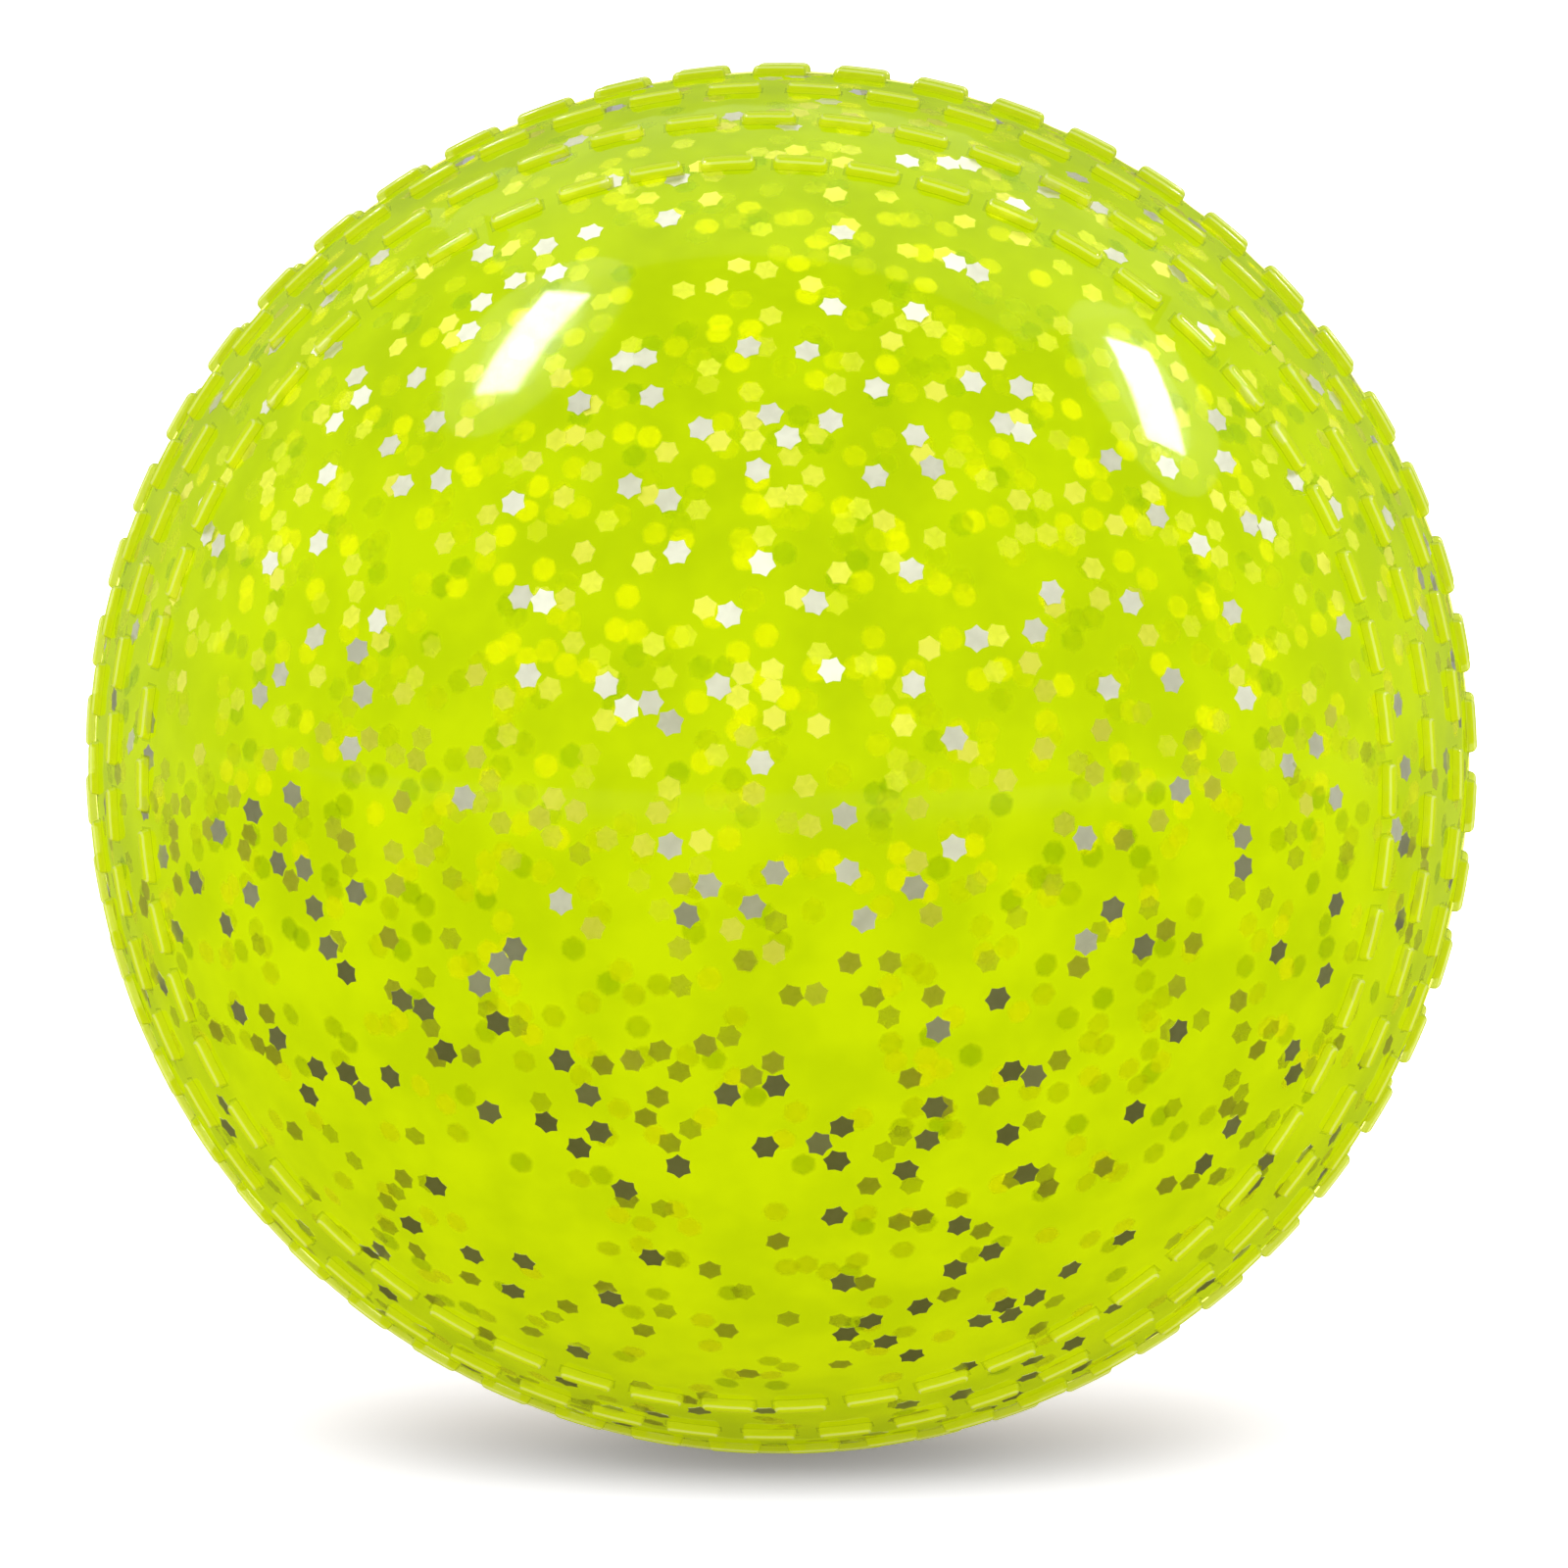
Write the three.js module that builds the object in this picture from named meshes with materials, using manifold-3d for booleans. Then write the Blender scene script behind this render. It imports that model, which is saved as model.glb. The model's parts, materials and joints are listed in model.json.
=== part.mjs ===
// A cricket wind ball: a hollow ball of soft, clear, tinted PVC that is filled with air.
// Two moulded cups meet in the seam plane with a lap joint, which a ring of cement closes.
// Rows of short raised bars, moulded with each cup, stand for the stitching beside the seam.
// A flanged plug in the rear cup closes the hole that the ball is filled through.
//
// Millimetres, +Z up. The origin is the ball's centre, the seam lies in the XZ plane,
// and the poles of the two smooth caps lie on the Y axis, the front one at -Y.

import * as THREE from 'three';
import { mergeVertices } from 'three/addons/utils/BufferGeometryUtils.js';
import Module from 'manifold-3d';

// Driving dimensions of the cups
const BODY_DIAMETER = 71; // over the smooth caps
const WALL_THICKNESS = 4.5;

// Driving dimensions of the moulded stitches
const ROWS_PER_CUP = 4;
const ROW_SPACING = 5; // along the surface, the seam lying midway between two rows
const STITCH_LENGTH = 2.75;
const STITCH_WIDTH = 0.95;
const STITCH_HEIGHT = 0.45;
const STITCH_GAP = 1.4; // from stitch to stitch along the seam
const STITCH_DRAFT = 0.17; // how far each side leans in from its foot to the top

// Driving dimensions of the lap joint
const SPIGOT_LENGTH = 3;
const SPIGOT_THICKNESS = 2.2;
const SPIGOT_CLEARANCE = 0.15;
const CEMENT_THICKNESS = 0.6;

// Driving dimensions of the air plug and its seat
const PLUG_HEAD_DIAMETER = 7;
const PLUG_HEAD_THICKNESS = 1.2; // at its rim
const PLUG_SHANK_DIAMETER = 4;
const PLUG_LIP_DIAMETER = 5.4; // the lip that snaps out behind the boss
const PLUG_LIP_THICKNESS = 0.7;
const PLUG_NOSE_LENGTH = 2.4;
const PLUG_NOSE_DIAMETER = 2.2;
const PLUG_CLEARANCE = 0.15;
const BOSS_DIAMETER = 10;
const BOSS_HEIGHT = 3; // inwards from the wall

// Facets
const CAP_STEPS = 8;
const CORE_STEPS = 6;
const CORE_SEGMENTS = 28;
const PLUG_SEGMENTS = 24;
const PLUG_DOME_STEPS = 2;
const MERGE_DISTANCE = 1e-4;

// Sizes worked out from these
const OUTER_RADIUS = BODY_DIAMETER / 2;
const INNER_RADIUS = OUTER_RADIUS - WALL_THICKNESS;
const ROW_ANGLE = ROW_SPACING / OUTER_RADIUS;
const STITCHES_PER_ROW = Math.round((Math.PI * BODY_DIAMETER) / (STITCH_LENGTH + STITCH_GAP));
const STITCH_PITCH = (2 * Math.PI) / STITCHES_PER_ROW;

const SPIGOT_RADIUS = INNER_RADIUS + SPIGOT_THICKNESS;
const SOCKET_RADIUS = SPIGOT_RADIUS + SPIGOT_CLEARANCE;
const SOCKET_DEPTH = SPIGOT_LENGTH + CEMENT_THICKNESS;

const PLUG_HEAD_RADIUS = PLUG_HEAD_DIAMETER / 2;
const PLUG_SEAT_Y = heightOnSphere(OUTER_RADIUS, PLUG_HEAD_RADIUS) - PLUG_HEAD_THICKNESS;
const BOSS_END_Y = INNER_RADIUS - BOSS_HEIGHT;

const FRONT = -1;
const REAR = 1;

const wasm = await Module();
wasm.setup();

/** How far from the seam plane a sphere's surface lies at a distance from the Y axis. */
function heightOnSphere(radius, distance) {
  return Math.sqrt(radius * radius - distance * distance);
}

/** Profile points on a circle about the centre, by latitude, both ends included. */
function arc(radius, from, to, steps) {
  const points = [];
  for (let step = 0; step <= steps; step += 1) {
    const latitude = from + ((to - from) * step) / steps;
    points.push([radius * Math.cos(latitude), radius * Math.sin(latitude)]);
  }
  return points;
}

/** A closed geometry as a solid that can be joined and cut. */
function toSolid(geometry) {
  geometry.deleteAttribute('normal');
  geometry.deleteAttribute('uv');
  const merged = mergeVertices(geometry, MERGE_DISTANCE);
  const mesh = new wasm.Mesh({
    numProp: 3,
    vertProperties: Float32Array.from(merged.attributes.position.array),
    triVerts: withoutSlivers(merged.index.array),
  });
  return new wasm.Manifold(mesh);
}

/** Triangles that keep three different corners, as those that close on the axis don't. */
function withoutSlivers(corners) {
  const kept = [];
  for (let first = 0; first < corners.length; first += 3) {
    const [a, b, c] = corners.slice(first, first + 3);
    if (a !== b && b !== c && c !== a) kept.push(a, b, c);
  }
  return Uint32Array.from(kept);
}

/** Turns a profile of [radius, y] points round the Y axis, with its outside running upwards. */
function turned(profile, segments) {
  const points = profile.map(([radius, y]) => new THREE.Vector2(Math.max(radius, 0), y));
  return toSolid(new THREE.LatheGeometry(points, segments));
}

/** A solid as geometry for a mesh. */
function toGeometry(solid) {
  const mesh = solid.getMesh();
  const geometry = new THREE.BufferGeometry();
  geometry.setAttribute('position', new THREE.BufferAttribute(mesh.vertProperties, 3));
  geometry.setIndex(new THREE.BufferAttribute(mesh.triVerts, 1));
  geometry.computeVertexNormals();
  return geometry;
}

/** Collects the points and faces of one cup's outer skin, which runs from the seam to the pole. */
class Skin {
  constructor(side) {
    this.side = side;
    this.positions = [];
    this.corners = [];
  }

  /** Adds a point by its longitude round the ball and its latitude from the seam. */
  point(longitude, latitude, radius) {
    const reach = radius * Math.cos(latitude);
    const y = this.side * radius * Math.sin(latitude);
    this.positions.push(reach * Math.sin(longitude), y, reach * Math.cos(longitude));
    return this.positions.length / 3 - 1;
  }

  /** Adds a ring of points, one for each stitch of a row. */
  ring(latitude, stagger) {
    const places = Array.from({ length: STITCHES_PER_ROW }, (_, index) => index + stagger);
    return places.map((place) => this.point(place * STITCH_PITCH, latitude, OUTER_RADIUS));
  }

  /** Adds a face as a fan round its first corner. Corners run from left to right, then back above. */
  face(...corners) {
    for (let next = 1; next + 1 < corners.length; next += 1) {
      const fan = [corners[0], corners[next], corners[next + 1]];
      this.corners.push(...(this.side === REAR ? fan : fan.reverse()));
    }
  }

  /** Adds the four corners of a stitch at one height, inset from its foot. */
  stitchOutline(longitude, latitude, height, inset) {
    const radius = OUTER_RADIUS + height;
    const east = (STITCH_LENGTH / 2 - inset) / (radius * Math.cos(latitude));
    const north = (STITCH_WIDTH / 2 - inset) / radius;
    return [
      this.point(longitude - east, latitude - north, radius),
      this.point(longitude + east, latitude - north, radius),
      this.point(longitude + east, latitude + north, radius),
      this.point(longitude - east, latitude + north, radius),
    ];
  }

  /** Raises one stitch with leaning sides and returns the corners of its foot. */
  stitch(longitude, latitude) {
    const foot = this.stitchOutline(longitude, latitude, 0, 0);
    const top = this.stitchOutline(longitude, latitude, STITCH_HEIGHT, STITCH_DRAFT);
    for (const [from, to] of [[0, 1], [1, 2], [2, 3], [3, 0]]) {
      this.face(foot[from], foot[to], top[to], top[from]);
    }
    this.face(...top);
    return foot;
  }

  toGeometry() {
    const geometry = new THREE.BufferGeometry();
    geometry.setAttribute('position', new THREE.Float32BufferAttribute(this.positions, 3));
    return geometry.setIndex(this.corners);
  }
}

/**
 * The outer form of one cup: half a ball with its rows of stitches.
 * The rings between the rows turn by half a stitch each, which staggers the rows like bricks.
 * The first rows of the two cups face each other across the seam.
 */
function stitchedHalfBall(side) {
  const skin = new Skin(side);
  const next = (index) => (index + 1) % STITCHES_PER_ROW;
  const before = (index) => (index + STITCHES_PER_ROW - 1) % STITCHES_PER_ROW;

  let below = skin.ring(0, 0);
  const centre = skin.point(0, 0, 0);
  below.forEach((corner, index) => skin.face(below[next(index)], corner, centre));

  for (let row = 0; row < ROWS_PER_CUP; row += 1) {
    const stagger = row / 2;
    const latitude = (row + 0.5) * ROW_ANGLE;
    const above = skin.ring((row + 1) * ROW_ANGLE, stagger + 0.5);
    const feet = below.map((_, index) => skin.stitch((index + stagger) * STITCH_PITCH, latitude));
    feet.forEach(([left, right, topRight, topLeft], index) => {
      const [nextLeft, , , nextTopLeft] = feet[next(index)];
      skin.face(below[index], right, left);
      skin.face(right, below[index], below[next(index)], nextLeft, nextTopLeft, above[index], topRight);
      skin.face(topLeft, topRight, above[index], above[before(index)]);
    });
    below = above;
  }

  const bandAngle = ROWS_PER_CUP * ROW_ANGLE;
  const capStep = (Math.PI / 2 - bandAngle) / CAP_STEPS;
  const capStagger = ROWS_PER_CUP / 2;
  for (let step = 1; step < CAP_STEPS; step += 1) {
    const above = skin.ring(bandAngle + step * capStep, capStagger);
    below.forEach((corner, index) => {
      skin.face(corner, below[next(index)], above[next(index)], above[index]);
    });
    below = above;
  }
  const pole = skin.point(0, Math.PI / 2, OUTER_RADIUS);
  below.forEach((corner, index) => skin.face(corner, below[next(index)], pole));
  return toSolid(skin.toGeometry());
}

/** The front cup, whose spigot reaches into the rear cup. The core leaves past the spigot's end. */
function frontHalfShell() {
  const coreTop = 2 * SPIGOT_LENGTH;
  const spigot = turned(
    [
      [0, -SPIGOT_LENGTH],
      [SPIGOT_RADIUS, -SPIGOT_LENGTH],
      [SPIGOT_RADIUS, SPIGOT_LENGTH],
      [0, SPIGOT_LENGTH],
    ],
    CORE_SEGMENTS,
  );
  const core = turned(
    [
      ...arc(INNER_RADIUS, -Math.PI / 2, 0, CORE_STEPS),
      [INNER_RADIUS, coreTop],
      [0, coreTop],
    ],
    CORE_SEGMENTS,
  );
  return stitchedHalfBall(FRONT).add(spigot).subtract(core);
}

/**
 * The rear cup, with the socket for the spigot and a boss that the air plug sits in.
 * The plug's seat is cut from the ball's centre outwards, past the cup's skin.
 */
function rearHalfShell() {
  const bossRadius = BOSS_DIAMETER / 2;
  const boreRadius = PLUG_SHANK_DIAMETER / 2 + PLUG_CLEARANCE;
  const recessRadius = PLUG_HEAD_RADIUS + PLUG_CLEARANCE;
  const shoulder = Math.asin(SOCKET_DEPTH / INNER_RADIUS);
  const bossRoot = Math.acos(bossRadius / INNER_RADIUS);
  const core = turned(
    [
      [0, -SOCKET_DEPTH],
      [SOCKET_RADIUS, -SOCKET_DEPTH],
      [SOCKET_RADIUS, SOCKET_DEPTH],
      ...arc(INNER_RADIUS, shoulder, bossRoot, CORE_STEPS),
      [bossRadius, BOSS_END_Y],
      [0, BOSS_END_Y],
    ],
    CORE_SEGMENTS,
  );
  const plugSeat = turned(
    [
      [0, 0],
      [boreRadius, 0],
      [boreRadius, PLUG_SEAT_Y],
      [recessRadius, PLUG_SEAT_Y],
      [recessRadius, BODY_DIAMETER],
      [0, BODY_DIAMETER],
    ],
    PLUG_SEGMENTS,
  );
  return stitchedHalfBall(REAR).subtract(core).subtract(plugSeat);
}

/** The cement between the spigot's end and the shoulder of its socket. */
function cementRing() {
  const outer = SPIGOT_RADIUS;
  const inner = INNER_RADIUS;
  const ring = [
    [inner, SPIGOT_LENGTH],
    [outer, SPIGOT_LENGTH],
    [outer, SOCKET_DEPTH],
    [inner, SOCKET_DEPTH],
    [inner, SPIGOT_LENGTH],
  ];
  return turned(ring, CORE_SEGMENTS);
}

/** The soft plug: a nose and a lip behind the boss, a shank in it, and a head flush with the ball. */
function airPlug() {
  const shankRadius = PLUG_SHANK_DIAMETER / 2;
  const lipRadius = PLUG_LIP_DIAMETER / 2;
  const lipTop = BOSS_END_Y - PLUG_CLEARANCE;
  const lipBottom = lipTop - PLUG_LIP_THICKNESS;
  const noseTip = lipBottom - PLUG_NOSE_LENGTH;
  const headRim = Math.acos(PLUG_HEAD_RADIUS / OUTER_RADIUS);
  return turned(
    [
      [0, noseTip],
      [PLUG_NOSE_DIAMETER / 2, noseTip],
      [lipRadius, lipBottom],
      [lipRadius, lipTop],
      [shankRadius, lipTop],
      [shankRadius, PLUG_SEAT_Y],
      [PLUG_HEAD_RADIUS, PLUG_SEAT_Y],
      ...arc(OUTER_RADIUS, headRim, Math.PI / 2, PLUG_DOME_STEPS),
    ],
    PLUG_SEGMENTS,
  );
}

const pvc = { color: 0xc3de12, roughness: 0.16, metalness: 0 };
const pieces = [
  ['front_half_shell', frontHalfShell, pvc],
  ['rear_half_shell', rearHalfShell, pvc],
  ['cement_ring', cementRing, { color: 0xd9d6a0, roughness: 0.4, metalness: 0 }],
  ['air_plug', airPlug, { color: 0xb4cf14, roughness: 0.35, metalness: 0 }],
];

const windBall = new THREE.Group();
windBall.name = 'wind_ball';
for (const [name, make, finish] of pieces) {
  const mesh = new THREE.Mesh(toGeometry(make()), new THREE.MeshStandardMaterial(finish));
  mesh.name = name;
  windBall.add(mesh);
}

export default windBall;
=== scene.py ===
"""Looks of a cricket wind ball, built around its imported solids.

Lengths are metres in the frame of the solids: the origin is the ball's centre, +Z is up, the seam
lies in the XZ plane, and the two smooth caps face -Y (front) and +Y (rear).
"""

import json
import logging
import math
import random
from collections.abc import Callable
from dataclasses import dataclass, replace
from enum import Enum, IntEnum
from functools import cache

import bmesh
import bpy
from mathutils import Matrix, Vector

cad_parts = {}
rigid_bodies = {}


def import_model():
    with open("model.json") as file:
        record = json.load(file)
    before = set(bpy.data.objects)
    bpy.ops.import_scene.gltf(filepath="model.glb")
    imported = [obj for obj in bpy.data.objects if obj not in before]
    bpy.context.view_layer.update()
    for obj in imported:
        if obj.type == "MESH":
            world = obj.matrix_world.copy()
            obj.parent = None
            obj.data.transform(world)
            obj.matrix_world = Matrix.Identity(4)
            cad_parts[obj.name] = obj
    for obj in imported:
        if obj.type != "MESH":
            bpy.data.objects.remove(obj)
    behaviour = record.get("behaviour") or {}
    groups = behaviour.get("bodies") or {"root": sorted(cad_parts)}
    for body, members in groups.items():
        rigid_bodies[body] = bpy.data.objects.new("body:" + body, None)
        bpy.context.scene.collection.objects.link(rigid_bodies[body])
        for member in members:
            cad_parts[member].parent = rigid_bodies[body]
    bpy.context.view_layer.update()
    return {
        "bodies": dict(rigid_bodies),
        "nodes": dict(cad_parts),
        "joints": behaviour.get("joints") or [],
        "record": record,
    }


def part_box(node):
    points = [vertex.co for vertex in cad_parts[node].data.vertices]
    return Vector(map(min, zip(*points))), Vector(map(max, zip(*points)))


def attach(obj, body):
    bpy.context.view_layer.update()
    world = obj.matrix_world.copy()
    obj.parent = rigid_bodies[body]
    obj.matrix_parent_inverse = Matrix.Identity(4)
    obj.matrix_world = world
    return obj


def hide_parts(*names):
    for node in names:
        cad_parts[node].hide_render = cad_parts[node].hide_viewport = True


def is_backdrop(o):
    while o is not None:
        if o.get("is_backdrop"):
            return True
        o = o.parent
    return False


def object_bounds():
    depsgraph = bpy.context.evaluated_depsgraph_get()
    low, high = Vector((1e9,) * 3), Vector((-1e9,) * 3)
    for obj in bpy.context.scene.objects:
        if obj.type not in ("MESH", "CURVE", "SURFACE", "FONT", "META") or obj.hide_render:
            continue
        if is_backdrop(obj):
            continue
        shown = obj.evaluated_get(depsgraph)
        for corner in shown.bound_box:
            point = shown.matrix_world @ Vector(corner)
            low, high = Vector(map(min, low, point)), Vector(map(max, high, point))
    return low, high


log = logging.getLogger("wind_ball")

MM = 0.001
TOUCH = 0.001 * MM
BODY = "root"
WALL_SLOT = "shell_pvc"
PLUG_SLOT = "plug_pvc"
CLEAR_BOUNCES = 32
UP = Vector((0, 0, 1))
WHITE = (1.0, 1.0, 1.0)
BLACK = (0.0, 0.0, 0.0)
Colour = tuple[float, float, float]
Direction = tuple[float, float, float]
Pair = tuple[float, float]
Pixel = tuple[float, float]
Piece = bpy.types.Object
Node = bpy.types.Node
Tree = bpy.types.NodeTree
Socket = bpy.types.NodeSocket


class Labelled(Enum):
    """A choice that piece names are made from."""

    @property
    def label(self) -> str:
        """The choice's name in lower case."""
        return self.name.lower()


class Cup(Labelled):
    """The two cups of the ball, each with the side of the seam that it lies on."""

    FRONT = -1
    REAR = 1


class Element(Enum):
    """The kinds of mesh element that a selection can pick."""

    VERT = "verts"
    EDGE = "edges"
    FACE = "faces"


def clamp(value: float) -> float:
    """Keeps a value between 0 and 1."""
    return max(0.0, min(1.0, value))


def grey(brightness: float) -> Colour:
    """Gives the neutral colour of a brightness."""
    return brightness, brightness, brightness


def standing(place: Vector, right: Vector, up: Vector, back: Vector) -> Matrix:
    """Gives the matrix of a camera or lamp that stands at a place and looks away from its back."""
    return Matrix.Translation(place) @ Matrix((right, up, back)).transposed().to_4x4()


def activate(piece: Piece) -> None:
    """Makes one object the only selected and the active one."""
    bpy.ops.object.select_all(action="DESELECT")
    piece.select_set(True)
    bpy.context.view_layer.objects.active = piece


def added(name: str, data: bpy.types.ID) -> Piece:
    """Adds an object with its data to the scene and returns it."""
    piece = bpy.data.objects.new(name, data)
    bpy.context.collection.objects.link(piece)
    return piece


def primitive(kind: str, name: str, **settings: object) -> Piece:
    """Adds a primitive mesh, such as a circle, under a name, and returns it."""
    getattr(bpy.ops.mesh, f"primitive_{kind}_add")(**settings)
    bpy.ops.object.transform_apply(scale=False)
    piece = bpy.context.active_object
    piece.name = piece.data.name = name
    return piece


def edit(piece: Piece) -> None:
    """Opens one object in edit mode with its whole mesh selected."""
    activate(piece)
    bpy.ops.object.mode_set(mode="EDIT")
    bpy.ops.mesh.select_all(action="SELECT")


def done() -> None:
    """Goes back to object mode."""
    bpy.ops.object.mode_set(mode="OBJECT")


def pick(piece: Piece, kind: Element, test: Callable[[list[Vector]], bool]) -> None:
    """Selects the elements of a kind, in an open mesh, whose list of corner points passes a test."""
    bpy.ops.mesh.select_mode(type=kind.name)
    bpy.ops.mesh.select_all(action="DESELECT")
    mesh = bmesh.from_edit_mesh(piece.data)
    for element in getattr(mesh, kind.value):
        corners = [element] if kind is Element.VERT else element.verts
        element.select_set(test([corner.co for corner in corners]))
    mesh.select_flush_mode()
    bmesh.update_edit_mesh(piece.data)


def extrude(y: float = 0.0, z: float = 0.0) -> None:
    """Extrudes the selection and moves the new part along Y or Z."""
    bpy.ops.mesh.extrude_region_move(TRANSFORM_OT_translate={"value": (0.0, y, z)})


def resize(x: float, y: float) -> None:
    """Scales the selection along X and Y about the object's origin."""
    bpy.ops.transform.resize(value=(x, y, 1.0), center_override=(0, 0, 0))


def apply_modifier(piece: Piece, kind: str, **settings: object) -> None:
    """Adds a modifier of a kind to a piece, gives it its settings and applies it."""
    activate(piece)
    modifier = piece.modifiers.new(kind.title(), kind)
    for key, value in settings.items():
        setattr(modifier, key, value)
    bpy.ops.object.modifier_apply(modifier=modifier.name)


def round_edges(piece: Piece, width: float, degrees: float, segments: int = 2) -> None:
    """Rounds the edges of a piece that are sharper than an angle."""
    apply_modifier(piece, "BEVEL", width=width, segments=segments, angle_limit=math.radians(degrees))


def close_up(piece: Piece) -> None:
    """Merges the doubles of a closed piece and turns its faces outwards."""
    edit(piece)
    bpy.ops.mesh.remove_doubles(threshold=TOUCH)
    bpy.ops.mesh.dissolve_degenerate(threshold=TOUCH)
    bpy.ops.mesh.select_all(action="SELECT")
    bpy.ops.mesh.normals_make_consistent(inside=False)
    done()


def smooth(piece: Piece, degrees: float) -> None:
    """Shades a piece smooth, apart from edges sharper than an angle."""
    activate(piece)
    bpy.ops.object.shade_smooth_by_angle(angle=math.radians(degrees))


def wear(piece: Piece, *materials: bpy.types.Material) -> None:
    """Gives a piece its materials, one slot each."""
    indices = [face.material_index for face in piece.data.polygons]
    piece.data.materials.clear()
    for material in materials:
        piece.data.materials.append(material)
    piece.data.polygons.foreach_set("material_index", indices)


def declare(piece: Piece, slot: str, *nodes: str) -> None:
    """Puts a piece on the ball's body, in place of some solids, which it hides."""
    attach(piece, BODY)
    if nodes:
        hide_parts(*nodes)
    log.info("%s: %d faces", piece.name, len(piece.data.polygons))


def let_lamps_through(piece: Piece) -> None:
    """Keeps a clear or veiled piece from shading what lies under it."""
    piece.visible_shadow = False
    piece.visible_diffuse = False


class Graph:
    """A node tree under construction."""

    def __init__(self, tree: Tree) -> None:
        """Takes the tree to fill and empties it."""
        self.tree = tree
        tree.nodes.clear()

    def add(self, kind: str, **values: object) -> Node:
        """Adds a node and returns it.

        Args:
            kind: the node's type, without ShaderNode in front.
            values: the node's properties, and its inputs, whose names start with a capital and have _
                for a space, each with a value or with an output to link.
        """
        node = self.tree.nodes.new(kind if kind.startswith("NodeGroup") else f"ShaderNode{kind}")
        for key, value in values.items():
            if key[0].isupper():
                self.feed(node.inputs[key.replace("_", " ")], value)
            else:
                setattr(node, key, value)
        return node

    def feed(self, socket: Socket, value: object) -> None:
        """Links an output to an input, or sets the input's value."""
        if isinstance(value, Socket):
            self.tree.links.new(value, socket)
        elif socket.type == "RGBA":
            socket.default_value = (*value, 1.0)
        else:
            socket.default_value = value

    def feed_in_order(self, node: Node, values: tuple[object, ...]) -> Node:
        """Feeds a node's inputs from the first one on, and returns the node."""
        for socket, value in zip(node.inputs, values):
            self.feed(socket, value)
        return node

    def sum(self, operation: str, *values: object) -> Socket:
        """Adds a sum, such as ADD or MULTIPLY, and returns its output."""
        node = self.add("Math", operation=operation)
        return self.feed_in_order(node, values).outputs[0]

    def ramp(self, *values: object) -> Socket:
        """Adds a clamped smooth ramp and returns the value that it maps to.

        Args:
            values: the value to map, the low and high end that it comes from, and those that it
                goes to, which are 0 and 1 if not given.
        """
        node = self.add("MapRange", interpolation_type="SMOOTHSTEP")
        return self.feed_in_order(node, values).outputs[0]

    def blend(self, share: object, first: object, second: object) -> Socket:
        """Adds a mix of two colours and returns its output."""
        node = self.add("Mix", data_type="RGBA", Factor=share)
        for place, value in zip("AB", (first, second)):
            self.feed(next(i for i in node.inputs if i.name == place and i.type == "RGBA"), value)
        return next(o for o in node.outputs if o.type == "RGBA")

    def mix(self, share: object, first: object, second: object) -> Socket:
        """Adds a mix of two shaders and returns its output."""
        return self.feed_in_order(self.add("MixShader"), (share, first, second)).outputs[0]

    def noise(self, scale: object, detail: float, roughness: float = 0.5) -> Socket:
        """Adds noise over a piece and returns its value."""
        place = self.add("TexCoord").outputs["Object"]
        node = self.add("TexNoise", Vector=place, Scale=scale, Detail=detail, Roughness=roughness)
        return node.outputs["Fac"]

    def looks(self) -> tuple[Socket, Socket]:
        """Adds two values: 1 where the camera looks, and 1 where a mirror or glass does."""
        path = self.add("LightPath").outputs
        mirrored = self.sum("MAXIMUM", path["Is Glossy Ray"], path["Is Transmission Ray"])
        return path["Is Camera Ray"], mirrored


def effect_graph(name: str, takes: tuple[str, ...], gives: tuple[str, ...]) -> tuple[Graph, Node]:
    """Starts a shader node group that takes and gives named values; returns its graph and input node."""
    tree = bpy.data.node_groups.new(name, "ShaderNodeTree")
    for labels, way in ((takes, "INPUT"), (gives, "OUTPUT")):
        for label in labels:
            tree.interface.new_socket(label, in_out=way, socket_type="NodeSocketFloat")
    graph = Graph(tree)
    return graph, graph.add("NodeGroupInput")


@cache
def pigment_cloud(detail: float = 3.0, roughness: float = 0.55, ends: Pair = (0.3, 0.7)) -> Tree:
    """Builds the effect for the slow unevenness of pigment in poured PVC, from 0 to 1."""
    graph, given = effect_graph("pigment_cloud", ("Scale",), ("Cloud",))
    noise = graph.noise(given.outputs["Scale"], detail, roughness)
    graph.add("NodeGroupOutput", Cloud=graph.ramp(noise, *ends))
    return graph.tree


@cache
def handling_marks(
    smear_scale: float = 140.0,
    smear_detail: float = 4.0,
    smear_ends: Pair = (0.45, 0.75),
    ripple_scale: float = 320.0,
    ripple_detail: float = 2.0,
) -> Tree:
    """Builds the effect for faint handling marks on a face: its roughness, and a height for bumps."""
    graph, given = effect_graph("handling_marks", ("Polish", "Marks"), ("Roughness", "Height"))
    patches = graph.ramp(graph.noise(smear_scale, smear_detail), *smear_ends)
    marks = graph.sum("MULTIPLY", patches, given.outputs["Marks"])
    rough = graph.sum("ADD", given.outputs["Polish"], marks)
    graph.add("NodeGroupOutput", Roughness=rough, Height=graph.noise(ripple_scale, ripple_detail))
    return graph.tree


def clouded(graph: Graph, scale: float) -> Socket:
    """Adds the unevenness of pigment to a material and returns its value."""
    return graph.add("Group", node_tree=pigment_cloud(), Scale=scale).outputs["Cloud"]


def handled(graph: Graph, polish: float, marks: float, ripple: float) -> tuple[Socket, Socket]:
    """Adds handling marks and ripples to a material, and returns its roughness and its normal."""
    face = graph.add("Group", node_tree=handling_marks(), Polish=polish, Marks=marks).outputs
    bump = graph.add("Bump", Distance=ripple, Height=face["Height"])
    return face["Roughness"], bump.outputs["Normal"]


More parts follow.
